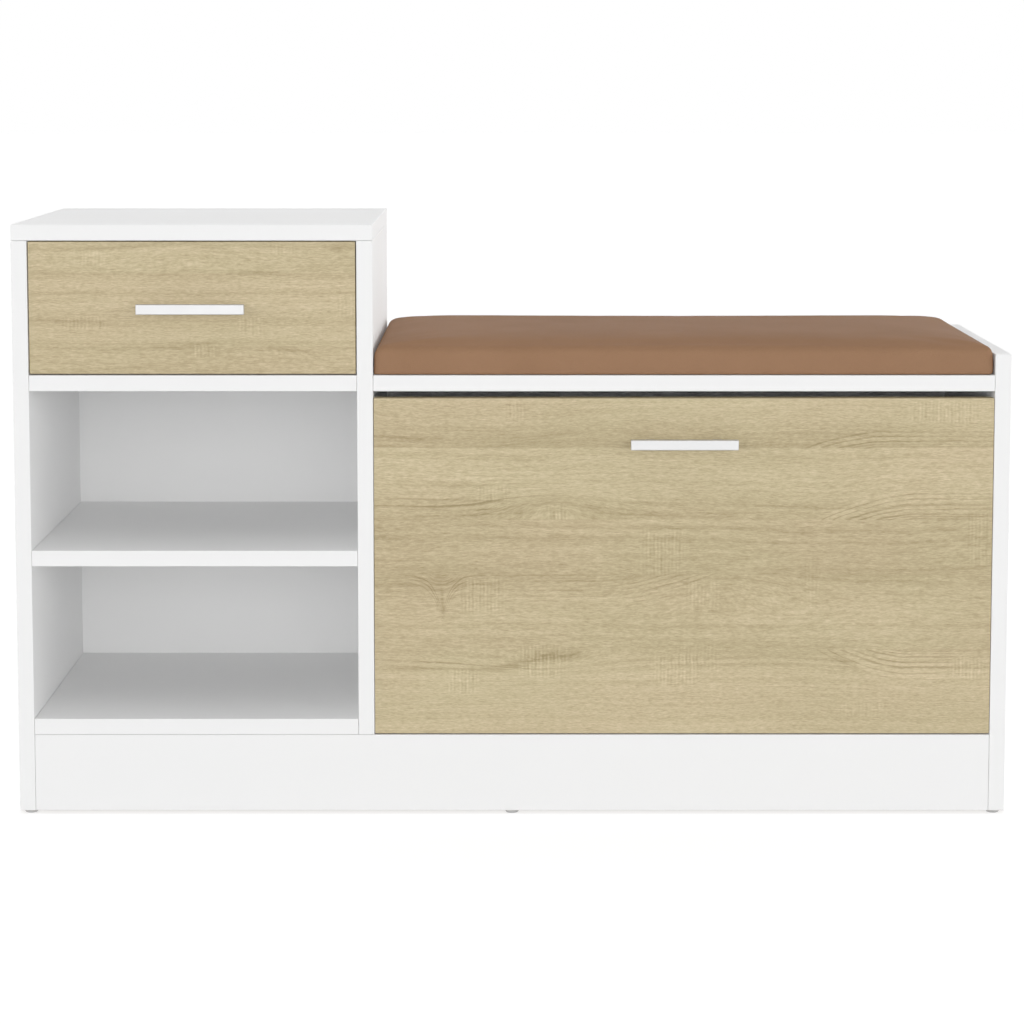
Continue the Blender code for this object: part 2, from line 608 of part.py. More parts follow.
def flap():
    axis = guide_point("flap_pivot_axis", ((PART_RIGHT + RIGHT_IN) / 2, PIVOT_Y, PIVOT_Z))
    left = PART_RIGHT + FLAP_SIDE_GAP
    right = RIGHT_IN - FLAP_SIDE_GAP
    front = box("flap_front", (left, FRONT, FLAP_FOOT), (right, FRONT + BOARD, FLAP_HEAD),
                OAK, axis, EDGE)
    handle("flap", (PART_RIGHT + RIGHT_IN) / 2, FLAP_HEAD - FLAP_HANDLE_DROP, front, axis)
    cheeks = {}
    for name, wall, edge, side in (("left", PART_RIGHT, left, 1), ("right", RIGHT_IN, right, -1)):
        cut(front, rod(f"flap_pin_bore_{name}", (edge - side * OVERRUN, PIVOT_Y, PIVOT_Z),
                       (edge + side * (PIN_BITE + BORE_SPARE), PIVOT_Y, PIVOT_Z), PIN_HOLE))
        rod(f"pivot_pin_{name}", (wall - side * PIN_REACH, PIVOT_Y, PIVOT_Z),
            (edge + side * PIN_BITE, PIVOT_Y, PIVOT_Z), PIN_RADIUS, ZINC, axis)
        bush_middle = wall - side * (GAP + BUSH_LENGTH / 2)
        ring(f"pivot_bush_{name}", BUSH_BORE, BUSH_RADIUS, BUSH_LENGTH,
             (bush_middle, PIVOT_Y, PIVOT_Z), ROLLER_PLASTIC)
        y, z = peg_place()
        rod(f"stop_peg_{name}", (wall - side * PEG_BITE, y, z),
            (wall + side * (CHEEK_CLEAR + CHEEK_THICK + PEG_PAST), y, z), PEG_RADIUS, ZINC)
        cheeks[side] = cheek(name, wall, side, front, axis)
    for name, level, depth in TRAYS:
        tray(name, level, depth, cheeks, axis)


def cheek(name, wall, side, front, axis):
    """A side plate of the rack: a sector, a slot for its stop peg and a flange on the flap."""
    near = wall + side * CHEEK_CLEAR
    middle = near + side * CHEEK_THICK / 2
    start = BOARD / 2 + GAP
    high = math.asin(CHEEK_HEAD / CHEEK_RADIUS)
    low = math.asin(CHEEK_FOOT / CHEEK_RADIUS)
    outline = [(start, CHEEK_FOOT), (start, CHEEK_HEAD)] + arc(CHEEK_RADIUS, high, low, 18)
    body = plate(f"rack_cheek_{name}", outline, middle, CHEEK_THICK, RACK_PLASTIC, axis)
    back = FRONT + BOARD + GAP
    weld_on(body, slab(f"cheek_flange_{name}", near - side * FLANGE_WIDTH,
                       near + side * CHEEK_THICK / 2, back, back + CHEEK_THICK,
                       PIVOT_Z + CHEEK_FOOT, PIVOT_Z + CHEEK_HEAD))
    for index, height in enumerate(STUD_HEIGHTS):
        x = near - side * FLANGE_WIDTH / 2
        z = PIVOT_Z + height
        weld_on(body, rod(f"cheek_stud_{name}_{index}", (x, back + CHEEK_THICK / 2, z),
                          (x, FRONT + BOARD - STUD_LENGTH, z), STUD_RADIUS))
        cut(front, rod(f"stud_bore_{name}_{index}", (x, FRONT + BOARD + OVERRUN, z),
                       (x, FRONT + BOARD - STUD_LENGTH - BORE_SPARE, z), STUD_RADIUS + GAP))
    cut(body, plate(f"peg_slot_{name}", slot_outline(), middle, 3 * CHEEK_THICK))
    return body


def slot_outline():
    """A curved slot with round ends, around the pivot."""
    start = PEG_ANGLE
    end = PEG_ANGLE - FLAP_SWING
    ends = []
    for angle, first in ((start, start), (end, end - math.pi)):
        centre = (PEG_ORBIT * math.cos(angle), PEG_ORBIT * math.sin(angle))
        ends.append(arc(SLOT_HALF, first, first + math.pi, 8, centre)[1:-1])
    outer = arc(PEG_ORBIT + SLOT_HALF, end, start, 14)
    inner = arc(PEG_ORBIT - SLOT_HALF, start, end, 14)
    return outer + ends[0] + inner + ends[1]


def tray(name, level, depth, cheeks, axis):
    """A tray between the cheeks: a floor, a low lip at its rear and two tenons at each end."""
    left = PART_RIGHT + CHEEK_CLEAR + CHEEK_THICK + GAP
    right = RIGHT_IN - CHEEK_CLEAR - CHEEK_THICK - GAP
    front = FRONT + BOARD + GAP
    rear = PIVOT_Y + depth
    foot = PIVOT_Z + level
    floor = box(name, (left, front, foot), (right, rear, foot + TRAY_THICK), RACK_PLASTIC, axis)
    weld_on(floor, box(name + "_lip", (left, rear - TRAY_THICK, foot),
                       (right, rear, foot + TRAY_THICK + TRAY_LIP)))
    for side, end in ((1, left), (-1, right)):
        for index, share in enumerate(TENON_DEPTHS):
            y = front + share * (rear - front)
            tip = end - side * (CHEEK_THICK - GAP)
            root = end + side * OVERRUN
            weld_on(floor, slab(f"{name}_tenon_{side}_{index}", root, tip,
                                y - TENON_WIDTH / 2, y + TENON_WIDTH / 2,
                                foot, foot + TRAY_THICK))
            mortise = slab(f"{name}_mortise_{side}_{index}", root,
                           end - side * 2 * CHEEK_THICK, y - TENON_WIDTH / 2 - GAP,
                           y + TENON_WIDTH / 2 + GAP, foot - GAP, foot + TRAY_THICK + GAP)
            cut(cheeks[side], mortise)


side_boards()
level_boards()
plinth_boards()
back_panels()
glides()
cushion()
drawer()
flap()
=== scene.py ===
"""Looks for the entryway bench: materials, upholstery, floor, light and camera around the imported
CAD frame. Metres, +Z up; the front faces -Y."""

import math

import bmesh
import bpy
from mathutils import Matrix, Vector


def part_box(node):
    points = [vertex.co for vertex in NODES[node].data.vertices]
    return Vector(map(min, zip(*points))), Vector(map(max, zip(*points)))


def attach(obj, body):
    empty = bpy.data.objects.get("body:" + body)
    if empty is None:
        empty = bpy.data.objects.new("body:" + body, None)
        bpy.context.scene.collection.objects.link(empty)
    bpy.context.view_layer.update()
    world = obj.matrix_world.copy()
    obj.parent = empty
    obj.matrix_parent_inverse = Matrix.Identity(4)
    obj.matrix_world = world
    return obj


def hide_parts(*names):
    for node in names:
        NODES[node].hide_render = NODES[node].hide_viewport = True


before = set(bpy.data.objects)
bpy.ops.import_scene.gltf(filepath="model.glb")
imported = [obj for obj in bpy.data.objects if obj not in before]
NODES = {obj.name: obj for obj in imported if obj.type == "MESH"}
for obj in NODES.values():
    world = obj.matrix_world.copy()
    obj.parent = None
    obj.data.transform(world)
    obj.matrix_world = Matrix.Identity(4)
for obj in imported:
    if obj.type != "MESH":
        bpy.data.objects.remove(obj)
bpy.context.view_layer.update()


def low(node):
    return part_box(node)[0]


def high(node):
    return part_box(node)[1]


# Planes of the carcass, read from the frame.
FRONT, REAR = low("left_side_panel").y, high("left_side_panel").y
FOOT = low("left_side_panel").z

# Camera -------------------------------------------------------------------------------------

CAMERA_DISTANCE = 2.683      # from the front plane
CAMERA_HEIGHT = 0.7063
CAMERA_DOWN = math.radians(5.73)
CAMERA_LENS = 100.8
CAMERA_SHIFT = -0.15


def add_camera():
    data = bpy.data.cameras.new("camera")
    data.lens = CAMERA_LENS
    data.sensor_width = 36.0
    data.sensor_fit = "HORIZONTAL"
    data.shift_y = CAMERA_SHIFT
    data.clip_end = 200.0
    item = bpy.data.objects.new("camera", data)
    item.location = (0.0, FRONT - CAMERA_DISTANCE, CAMERA_HEIGHT)
    item.rotation_euler = (math.pi / 2 - CAMERA_DOWN, 0.0, 0.0)
    bpy.context.scene.collection.objects.link(item)
    bpy.context.scene.camera = item


# Light and floor ----------------------------------------------------------------------------

FLOOR_SHOWN, FLOOR_LIGHT = 0.70, 0.25  # the floor's own light, to the camera and to the bench


def add_area(name, place, aim, size, power):
    data = bpy.data.lights.new(name, "AREA")
    data.shape = "RECTANGLE"
    data.size, data.size_y = size
    data.energy = power
    item = bpy.data.objects.new(name, data)
    item.location = place
    item.rotation_euler = (Vector(aim) - Vector(place)).to_track_quat("-Z", "Y").to_euler()
    bpy.context.scene.collection.objects.link(item)


SKY_TOP = 3.0                # the ramp below is in parts of this
SKY = (                      # (sine of the elevation, strength of the light from there)
    (0.00, 2.64), (0.27, 2.64), (0.33, 0.11), (0.67, 0.11), (0.73, 0.91))


def camera_or(tree, shown, light):
    """A value that is shown to the camera and another one that lights the scene."""
    path = tree.nodes.new("ShaderNodeLightPath")
    level = tree.nodes.new("ShaderNodeMapRange")
    tree.links.new(path.outputs["Is Camera Ray"], level.inputs["Value"])
    for socket, value in (("To Min", light), ("To Max", shown)):
        if isinstance(value, float):
            level.inputs[socket].default_value = value
        else:
            tree.links.new(value, level.inputs[socket])
    return level.outputs["Result"]


def add_world():
    """A bright band of light round the horizon and a softer one overhead, on plain white."""
    world = bpy.data.worlds.new("studio")
    world.use_nodes = True
    tree = world.node_tree
    background = tree.nodes["Background"]
    background.inputs["Color"].default_value = (1.0, 1.0, 1.0, 1.0)
    place = tree.nodes.new("ShaderNodeTexCoord")
    split = tree.nodes.new("ShaderNodeSeparateXYZ")
    ramp = tree.nodes.new("ShaderNodeValToRGB")
    gain = tree.nodes.new("ShaderNodeMath")
    gain.operation = "MULTIPLY"
    gain.inputs[1].default_value = SKY_TOP
    tree.links.new(place.outputs["Generated"], split.inputs[0])
    tree.links.new(split.outputs[2], ramp.inputs["Fac"])
    tree.links.new(ramp.outputs["Color"], gain.inputs[0])
    set_stops(ramp.color_ramp, [(sine, strength / SKY_TOP) for sine, strength in SKY])
    tree.links.new(camera_or(tree, 1.0, gain.outputs[0]), background.inputs["Strength"])
    bpy.context.scene.world = world


def set_stops(color_ramp, stops):
    points = color_ramp.elements
    while len(points) > 1:
        points.remove(points[-1])
    points[0].position = stops[0][0]
    for index, (position, colour) in enumerate(stops):
        point = points.new(position) if index else points[0]
        point.color = grey(colour) if isinstance(colour, float) else (*colour, 1.0)


# Node graphs --------------------------------------------------------------------------------

class Graph:
    """A short way to write a material's nodes. Values are numbers, tuples or output sockets."""

    def __init__(self, name):
        self.material = bpy.data.materials.new(name)
        self.material.use_nodes = True
        self.tree = self.material.node_tree
        self.tree.nodes.clear()

    def node(self, kind, inputs=(), **settings):
        made = self.tree.nodes.new(kind)
        for key, value in settings.items():
            setattr(made, key, value)
        for key, value in dict(inputs).items():
            self.put(made.inputs[key], value)
        return made

    def put(self, socket, value):
        if value is None:
            return
        if isinstance(value, bpy.types.NodeSocket):
            self.tree.links.new(value, socket)
        else:
            socket.default_value = value

    def calc(self, operation, a, b=None, c=None):
        made = self.tree.nodes.new("ShaderNodeMath")
        made.operation = operation
        for index, value in enumerate((a, b, c)):
            self.put(made.inputs[index], value)
        return made.outputs[0]

    def add(self, a, b):
        return self.calc("ADD", a, b)

    def sub(self, a, b):
        return self.calc("SUBTRACT", a, b)

    def mul(self, a, b):
        return self.calc("MULTIPLY", a, b)

    def wave(self, value, pitch):
        return self.calc("SINE", self.mul(value, 2 * math.pi / pitch))

    def total(self, *values):
        result = values[0]
        for value in values[1:]:
            result = self.add(result, value)
        return result

    def place(self, output="Object"):
        return self.node("ShaderNodeTexCoord").outputs[output]

    def split(self, vector):
        return self.node("ShaderNodeSeparateXYZ", {"Vector": vector}).outputs

    def join(self, x, y, z):
        return self.node("ShaderNodeCombineXYZ", {"X": x, "Y": y, "Z": z}).outputs[0]

    def scaled(self, vector, factors):
        return self.node("ShaderNodeMapping", {"Vector": vector, "Scale": factors}).outputs[0]

    def mapped(self, vector, centre, size, turn=0.0):
        """The vector seen from a box at centre, size and turn about Y, where a side is at 1."""
        return self.node("ShaderNodeMapping", {
            "Vector": vector, "Location": centre, "Scale": size,
            "Rotation": (0.0, -math.radians(turn), 0.0)}, vector_type="TEXTURE").outputs[0]

    def bell(self, vector, x, z, reach_x, reach_z, turn=0.0):
        """1 at (x, z), falling off over the two reaches, the first turned by some degrees."""
        place = self.mapped(vector, (x, 0.0, z), (reach_x, 1.0, reach_z), turn)
        square = self.node("ShaderNodeVectorMath", {0: place, 1: place},
                           operation="DOT_PRODUCT").outputs["Value"]
        return self.calc("EXPONENT", self.mul(square, -1.0))

    def noise(self, vector, scale, detail=2.0, rough=0.5, warp=0.0):
        return self.node("ShaderNodeTexNoise", {
            "Vector": vector, "Scale": scale, "Detail": detail, "Roughness": rough,
            "Distortion": warp}).outputs["Fac"]

    def noise_line(self, w, scale, detail=2.0, rough=0.5):
        return self.node("ShaderNodeTexNoise", {
            "W": w, "Scale": scale, "Detail": detail, "Roughness": rough},
            noise_dimensions="1D").outputs["Fac"]

    def cells(self, vector, scale, feature):
        return self.node("ShaderNodeTexVoronoi", {"Vector": vector, "Scale": scale},
                         feature=feature).outputs["Distance"]

    def fit(self, value, low_in, high_in, low_out=0.0, high_out=1.0, smooth=False):
        return self.node("ShaderNodeMapRange", {
            "Value": value, "From Min": low_in, "From Max": high_in, "To Min": low_out,
            "To Max": high_out},
            interpolation_type="SMOOTHSTEP" if smooth else "LINEAR").outputs[0]

    def ramp(self, value, stops, interpolation="LINEAR"):
        made = self.node("ShaderNodeValToRGB", {"Fac": value})
        made.color_ramp.interpolation = interpolation
        set_stops(made.color_ramp, stops)
        return made.outputs["Color"]

    def mix(self, amount, first, second, blend="MIX"):
        made = self.node("ShaderNodeMix", data_type="RGBA", blend_type=blend)
        self.put(made.inputs[0], amount)
        for index, value in ((6, first), (7, second)):
            self.put(made.inputs[index], as_colour(value))
        return made.outputs[2]

    def bump(self, height, distance):
        return self.node("ShaderNodeBump", {
            "Height": height, "Distance": distance, "Strength": 1.0}).outputs[0]

    def surface(self, **inputs):
        """Ends the graph in a Principled shader; underscores in names stand for spaces."""
        shader = self.node("ShaderNodeBsdfPrincipled")
        for key, value in inputs.items():
            name = key.replace("_", " ").replace("IOR level", "IOR Level")
            if name in ("Base Color", "Emission Color"):
                value = as_colour(value)
            self.put(shader.inputs[name], value)
        output = self.node("ShaderNodeOutputMaterial")
        self.tree.links.new(shader.outputs[0], output.inputs["Surface"])
        return self.material


def grey(value):
    return (value, value, value, 1.0)


def as_colour(value):
    if isinstance(value, tuple) and len(value) == 3:
        return (*value, 1.0)
    return value


# Materials ----------------------------------------------------------------------------------

DISPLAY_GAMMA = 1.3          # the view's gamma, which the display colours below allow for
WHITES = ((0.862, 0.864, 0.864), (0.878, 0.878, 0.876))  # the ends of the lacquer's drift
BAND, BAND_SEAM = 0.0008, 0.00012  # thickness of an edge band, half the width of its seam
SKIN = 0.0002                # depth that counts as the surface of a rear edge or a foot


def seen(red, green, blue, gloss=0.012):
    """The base colour of a front face that shows as a display colour, 0 to 255, where gloss is
    the light that its coat adds."""
    out = []
    for part in (red, green, blue):
        part /= 255
        light = part / 12.92 if part <= 0.04045 else ((part + 0.055) / 1.055) ** 2.4
        out.append(max(0.0, light ** DISPLAY_GAMMA - gloss))
    return tuple(out)


def white_board():
    """Melamine-coated chipboard: a fine pearl texture, edge bands on the fronts, and bare
    chipboard where nobody looks: on the rear edges and under the feet."""
    g = Graph("white_board")
    place = g.place()
    y, z = g.split(place)[1:]
    pearl = g.cells(place, 1100.0, "SMOOTH_F1")
    broad = g.noise(place, 9.0, 3.0)
    tone = g.mix(broad, *WHITES)
    seam = g.calc("COMPARE", y, FRONT + BAND, BAND_SEAM)
    tone = g.mix(g.mul(seam, 0.55), tone, (0.45, 0.44, 0.43))
    bare = g.calc("MAXIMUM", g.calc("GREATER_THAN", y, REAR - SKIN),
                  g.calc("LESS_THAN", z, FOOT + SKIN))
    chips, relief = chipboard(g, place)
    colour = g.mix(bare, tone, chips)
    rough = g.fit(g.noise(place, 60.0, 3.0), 0.3, 0.7, 0.50, 0.60)
    rough = g.add(rough, g.mul(bare, 0.35))
    height = g.add(g.mul(pearl, 0.2), g.mul(relief, bare))
    return g.surface(Base_Color=colour, Roughness=rough, Specular_IOR_level=0.25,
                     Normal=g.bump(height, 0.0002))


def chipboard(g, place):
    """Colour and relief of a board's bare core: pressed flakes of two sizes."""
    stretched = g.scaled(place, (1.0, 1.0, 1.7))
    flake = g.node("ShaderNodeTexVoronoi", {"Vector": stretched, "Scale": 620.0})
    shade = g.split(flake.outputs["Color"])[0]
    large = g.node("ShaderNodeTexVoronoi", {"Vector": stretched, "Scale": 230.0})
    chip = g.split(large.outputs["Color"])[0]
    level = g.total(g.mul(shade, 0.45), g.mul(chip, 0.35), g.mul(g.noise(place, 90.0, 4.0), 0.3))
    colour = g.ramp(level, ((0.15, (0.20, 0.125, 0.065)), (0.45, (0.42, 0.30, 0.18)),
                            (0.75, (0.56, 0.43, 0.28)), (1.0, (0.66, 0.54, 0.38))))
    return colour, g.sub(shade, g.mul(large.outputs["Distance"], 1.4))


# Oak foil. Lengths are in metres on the front.
STAVE_INSET = 0.004          # from a stave's end to its first tone, as a share of the stave
GROWTH_LINES = 150.0         # growth lines to a metre across the grain, roughly
FAN_CURVE = 1.6              # how soon the arcs of a fan level out
FAN_TAIL = 0.080             # how far they go on past the innermost one
SAW_PITCH, SAW_CROSS = 0.0035, 0.0046  # of the upright saw marks and the ones across them
OAK_DARK, OAK_STEP = (165, 150, 116), (15, 15.2, 15.4)  # display colours, dark to light


def oak_staves(g, z, foot, height, staves):
    """The tone that the staves give, and a number that differs from stave to stave."""
    share = g.fit(z, foot, foot + height)
    tones, seeds, bottom = [], [], 0.0
    for index, (top, levels) in enumerate(staves):
        start, span = bottom / height, (top - bottom) / height
        for step, level in enumerate(levels):
            inset = STAVE_INSET + (1 - 2 * STAVE_INSET) * step / (len(levels) - 1)
            tones.append((start + span * inset, float(level)))
        seeds.append((start, (0.17 + 0.61 * index) % 1.0))
        bottom = top
    return g.split(g.ramp(share, tones))[0], g.split(g.ramp(share, seeds, "CONSTANT"))[0]


def knot_lines(g, x, z, small, knots):
    """Growth lines that are pulled down to a point under each knot's head."""
    lines = 0.0
    for middle, head, reach, depth, pitch, strength in knots:
        away = g.calc("ABSOLUTE", g.sub(x, middle))
        dip = g.mul(g.calc("EXPONENT", g.mul(away, -1 / reach)), depth)
        count = g.mul(g.sub(g.sub(head, z), dip), 1 / pitch)
        window = g.mul(g.fit(count, 3.6, 0.8), g.fit(count, -0.5, -0.2))
        window = g.mul(window, g.mul(g.fit(away, 7 * reach, reach),
                                     g.fit(z, head, head - 0.0004)))
        count = g.add(count, g.mul(g.sub(small, 0.5), 0.8))
        arcs = g.fit(g.calc("PINGPONG", count, 0.5), 0.24, 0.04, smooth=True)
        lines = g.add(lines, g.mul(g.mul(arcs, window), strength))
    return lines


def fan_lines(g, x, z, small, broken, fans):
    """Nested arcs that rise from a stave's edge and level out."""
    lines = 0.0
    for apex, reach, base, rise, pitch, strength in fans:
        part = g.calc("DIVIDE", g.sub(z, base), rise)
        ahead = g.calc("MAXIMUM", g.calc("DIVIDE", g.sub(apex, x), reach), 0.0)
        root = g.calc("POWER", g.add(g.calc("POWER", ahead, FAN_CURVE),
                                     g.calc("MAXIMUM", part, 0.0)), 1 / FAN_CURVE)
        turns = abs(reach) / pitch
        count = g.add(g.mul(root, turns), g.mul(g.sub(small, 0.5), 0.7))
        count = g.add(count, g.mul(g.sub(g.noise_line(g.mul(root, turns * 0.6), 1.0), 0.5), 1.6))
        past = g.mul(g.sub(x, apex), 1.0 if reach > 0 else -1.0)
        window = g.mul(g.fit(root, 1.02, 0.94), g.fit(past, FAN_TAIL, 0.0, 0.35, 1.0))
        window = g.mul(window, g.mul(g.fit(part, -0.03, 0.0), g.fit(broken, 0.0, 0.6, 0.55, 1.0)))
        arcs = g.sub(g.fit(g.calc("PINGPONG", count, 0.5), 0.27, 0.03, smooth=True), 0.25)
        lines = g.add(lines, g.mul(g.mul(arcs, window), strength))
    return lines


def saw_marks(g, x, z, front, broad, small, shift, patches):
    """Patches where the saw left upright marks, crossed by fainter level ones."""
    along = g.add(x, g.mul(small, 0.0022))
    wave = g.add(g.wave(along, SAW_PITCH), g.mul(g.wave(along, SAW_PITCH / 0.41), 0.5))
    cross = g.wave(g.add(z, g.mul(small, 0.003)), SAW_CROSS)
    breaks = g.noise(g.join(g.mul(x, 200.0), g.mul(z, 110.0), shift), 1.0, 1.0)
    wave = g.mul(g.add(wave, g.mul(cross, 0.45)), g.fit(breaks, 0.30, 0.62))
    sawn = 0.0
    for patch_x, patch_z, half_x, half_z, strength in patches:
        across = g.split(g.mapped(front, (patch_x, 0.0, patch_z), (half_x, 1.0, half_z)))
        window = g.mul(g.fit(g.calc("ABSOLUTE", across[0]), 1.15, 0.55, smooth=True),
                       g.fit(g.calc("ABSOLUTE", across[2]), 1.15, 0.55, smooth=True))
        sawn = g.add(g.mul(window, strength), sawn)
    return g.mul(wave, g.mul(sawn, g.fit(broad, 0.30, 0.50, 0.55, 1.0)))


def oak_colour(g, level, hue):
    """Light oak: darker or lighter with level, a little redder or greener with hue."""
    stops = [(step / 4, seen(*(dark + rise * step for dark, rise in zip(OAK_DARK, OAK_STEP))))
             for step in range(5)]
    colour = g.ramp(g.fit(level, -0.5, 1.5), stops)
    return g.mix(g.fit(hue, 0.35, 0.65), g.mix(1.0, colour, (1.012, 0.994, 1.0), "MULTIPLY"),
                 g.mix(1.0, colour, (0.992, 1.004, 0.990), "MULTIPLY"))


def oak_board(name, foot, height, staves, grain, seed, wander):
    """Sawn-oak foil: staves with growth lines, short fibres, pores and patches of saw marks.

    staves: from the foot up, (where the stave ends, its tones at even steps up its height).
    grain: lists of what the growth did, in metres on the front:
      bends (x, z, reach along, reach across, lift, stave's foot, stave's head) of the lines;
      streaks (x, z, reach along, reach across, turn in degrees, how much darker);
      lined (x, z, reach along, reach across, how much stronger) growth lines;
      knots (x, z of the head, reach, depth, pitch, strength) that pull lines down to a point;
      fans (x of the innermost arc, reach of the outermost, foot z, height, pitch, strength) of
      nested arcs, with a reach < 0 on the other side and a height < 0 downwards;
      saw (x, z, half width, half height, strength) marks.
    wander: how far the growth lines stray."""
    g = Graph(name)
    x, y, z = g.split(g.place())
    front = g.join(x, 0.0, z)
    tone, stave = oak_staves(g, z, foot, height, staves)
    shift = g.add(g.mul(stave, 7.3), seed)

    # The growth lines follow the level curves of this field, in metres.
    flow = g.add(z, g.mul(y, 0.8))
    broad = g.noise(g.join(g.mul(x, 6.0), g.mul(z, 9.0), shift), 1.0, 1.5)
    flow = g.add(flow, g.mul(g.sub(broad, 0.5), wander))
    small = g.noise(g.join(g.mul(x, 30.0), g.mul(z, 90.0), shift), 1.0, 2.0)
    flow = g.add(flow, g.mul(g.sub(small, 0.5), 0.0024))
    figured = 0.0
    for bend_x, bend_z, along, across, lift, bottom, top in grain["bends"]:
        inside = g.mul(g.calc("GREATER_THAN", z, bottom), g.calc("LESS_THAN", z, top))
        bell = g.mul(g.bell(front, bend_x, bend_z, along, across), inside)
        flow = g.sub(flow, g.mul(bell, lift))
        figured = g.add(bell, figured)

    def fibres(along, across, turn, detail=2.0):
        """Noise drawn out along the growth lines, so many to a metre along and across them."""
        vector = g.join(g.mul(x, along), g.mul(flow, across), g.add(shift, turn))
        return g.sub(g.noise(vector, 1.0, detail), 0.5)

    rings = g.noise_line(g.add(g.mul(flow, GROWTH_LINES), g.mul(shift, 11.0)), 1.0, 3.0, 0.6)
    lines = g.fit(rings, 0.47, 0.30, smooth=True)
    broken = g.fit(fibres(14.0, 160.0, 21.0), -0.10, 0.12)
    gain = g.total(g.fit(tone, 0.25, 0.75, 0.20, 0.08), g.mul(figured, 0.35))
    for *bell, more in grain["lined"]:
        gain = g.add(gain, g.mul(g.bell(front, *bell), more))
    short = fibres(170.0, 900.0, 5.0, 3.0)
    pores = g.fit(fibres(120.0, 2600.0, 13.0, 1.0), 0.08, 0.22, smooth=True)
    clouds = g.noise(g.join(g.mul(x, 5.0), g.mul(z, 16.0), seed), 1.0, 2.0)
    level = g.total(
        tone, 0.11,
        g.mul(g.sub(rings, 0.5), 0.45),
        g.mul(g.mul(g.mul(lines, broken), gain), -0.9),
        g.mul(fibres(7.0, 420.0, 3.0), 0.55),
        g.mul(fibres(45.0, 330.0, 9.0), 0.60),
        g.mul(short, 1.70),
        g.mul(fibres(330.0, 1500.0, 17.0), 1.05),
        g.mul(g.sub(clouds, 0.5), 0.50),
        g.mul(pores, -0.38))

    ragged = g.mul(g.fit(fibres(22.0, 300.0, 27.0), -0.22, 0.14), 1.5)
    for *bell, turn, depth in grain["streaks"]:
        level = g.sub(level, g.mul(g.mul(g.bell(front, *bell, turn), ragged), depth))
    level = g.sub(level, knot_lines(g, x, z, small, grain["knots"]))
    level = g.sub(level, fan_lines(g, x, z, small, broken, grain["fans"]))
    marks = saw_marks(g, x, z, front, broad, small, shift, grain["saw"])
    level = g.add(level, g.mul(marks, 0.36))

    hue = g.noise(g.join(g.mul(x, 6.0), g.mul(z, 11.0), g.add(shift, 31.0)), 1.0, 2.0)
    relief = g.total(g.mul(pores, -0.6), g.mul(marks, 0.35), g.mul(lines, -0.25),
                     g.mul(short, 0.8))
    return g.surface(Base_Color=oak_colour(g, level, hue),
                     Roughness=g.fit(level, 0.0, 1.0, 0.62, 0.52), Specular_IOR_level=0.25,
                     Normal=g.bump(relief, 0.00012))


SCREEN_PITCH = 0.0013        # of the press screen's print on hardboard


def hardboard(name, axis, side):
    """Thin hardboard: white lacquer on the face towards side of axis, brown fibre elsewhere."""
    g = Graph(name)
    place = g.place()
    x, y, z = g.split(place)
    facing = g.mul(g.split(g.place("Normal"))[axis], side)
    lacquer = g.calc("GREATER_THAN", facing, 0.5)
    fibre = g.noise(place, 700.0, 4.0, 0.65)
    cloud = g.noise(place, 16.0, 4.0, 0.6)
    brown = g.ramp(g.add(g.mul(fibre, 0.6), g.mul(cloud, 0.4)),
                   ((0.25, (0.150, 0.088, 0.048)), (0.50, (0.235, 0.145, 0.084)),
                    (0.75, (0.320, 0.210, 0.130))))
    white = g.mix(g.noise(place, 25.0, 3.0), *WHITES)
    other = z if axis == 1 else y
    screen = g.mul(g.wave(x, SCREEN_PITCH), g.wave(other, SCREEN_PITCH))
    relief = g.add(g.mul(fibre, 0.5), g.mul(screen, g.mul(g.sub(1.0, lacquer), 0.35)))
    return g.surface(Base_Color=g.mix(lacquer, brown, white),
                     Roughness=g.fit(lacquer, 0.0, 1.0, 0.82, 0.50), Specular_IOR_level=0.3,
                     Normal=g.bump(relief, 0.00010))


def fibreboard():
    g = Graph("fibreboard")
    place = g.place()
    fibre = g.noise(g.scaled(place, (1.0, 0.6, 1.0)), 900.0, 4.0, 0.7)
    cloud = g.noise(place, 22.0, 3.0)
    colour = g.ramp(g.add(g.mul(fibre, 0.6), g.mul(cloud, 0.4)),
                    ((0.25, (0.30, 0.20, 0.12)), (0.75, (0.52, 0.38, 0.25))))
    return g.surface(Base_Color=colour, Roughness=0.85, Specular_IOR_level=0.25,
                     Normal=g.bump(fibre, 0.00012))


def coated_steel(name, first, second, rough, peel):
    """Paint on metal: orange-peel relief, a little dust-fine variation in tone and gloss."""
    g = Graph(name)
    place = g.place()
    skin = g.noise(place, 850.0, 2.0, 0.45)
    tone = g.mix(g.noise(place, 45.0, 3.0), first, second)
    gloss = g.fit(g.noise(place, 130.0, 3.0), 0.3, 0.7, rough - 0.04, rough + 0.05)
    return g.surface(Base_Color=tone, Roughness=gloss, Specular_IOR_level=0.5,
                     Normal=g.bump(skin, peel))


def satin_metal():
    """Nickel-plated metal, sand-blasted to a satin: fine sparkle and drifting gloss."""
    g = Graph("handle")
    place = g.place()
    blast = g.noise(place, 2600.0, 2.0, 0.6)
    drift = g.noise(g.scaled(place, (1.0, 2.0, 2.0)), 60.0, 3.0)
    tone = g.mix(g.add(g.mul(blast, 0.4), g.mul(drift, 0.6)), (0.585, 0.585, 0.59),
                 (0.635, 0.635, 0.635))
    rough = g.fit(g.add(g.mul(blast, 0.5), g.mul(drift, 0.5)), 0.3, 0.7, 0.38, 0.48)
    return g.surface(Base_Color=tone, Metallic=1.0, Roughness=rough,
                     Normal=g.bump(blast, 0.00002))


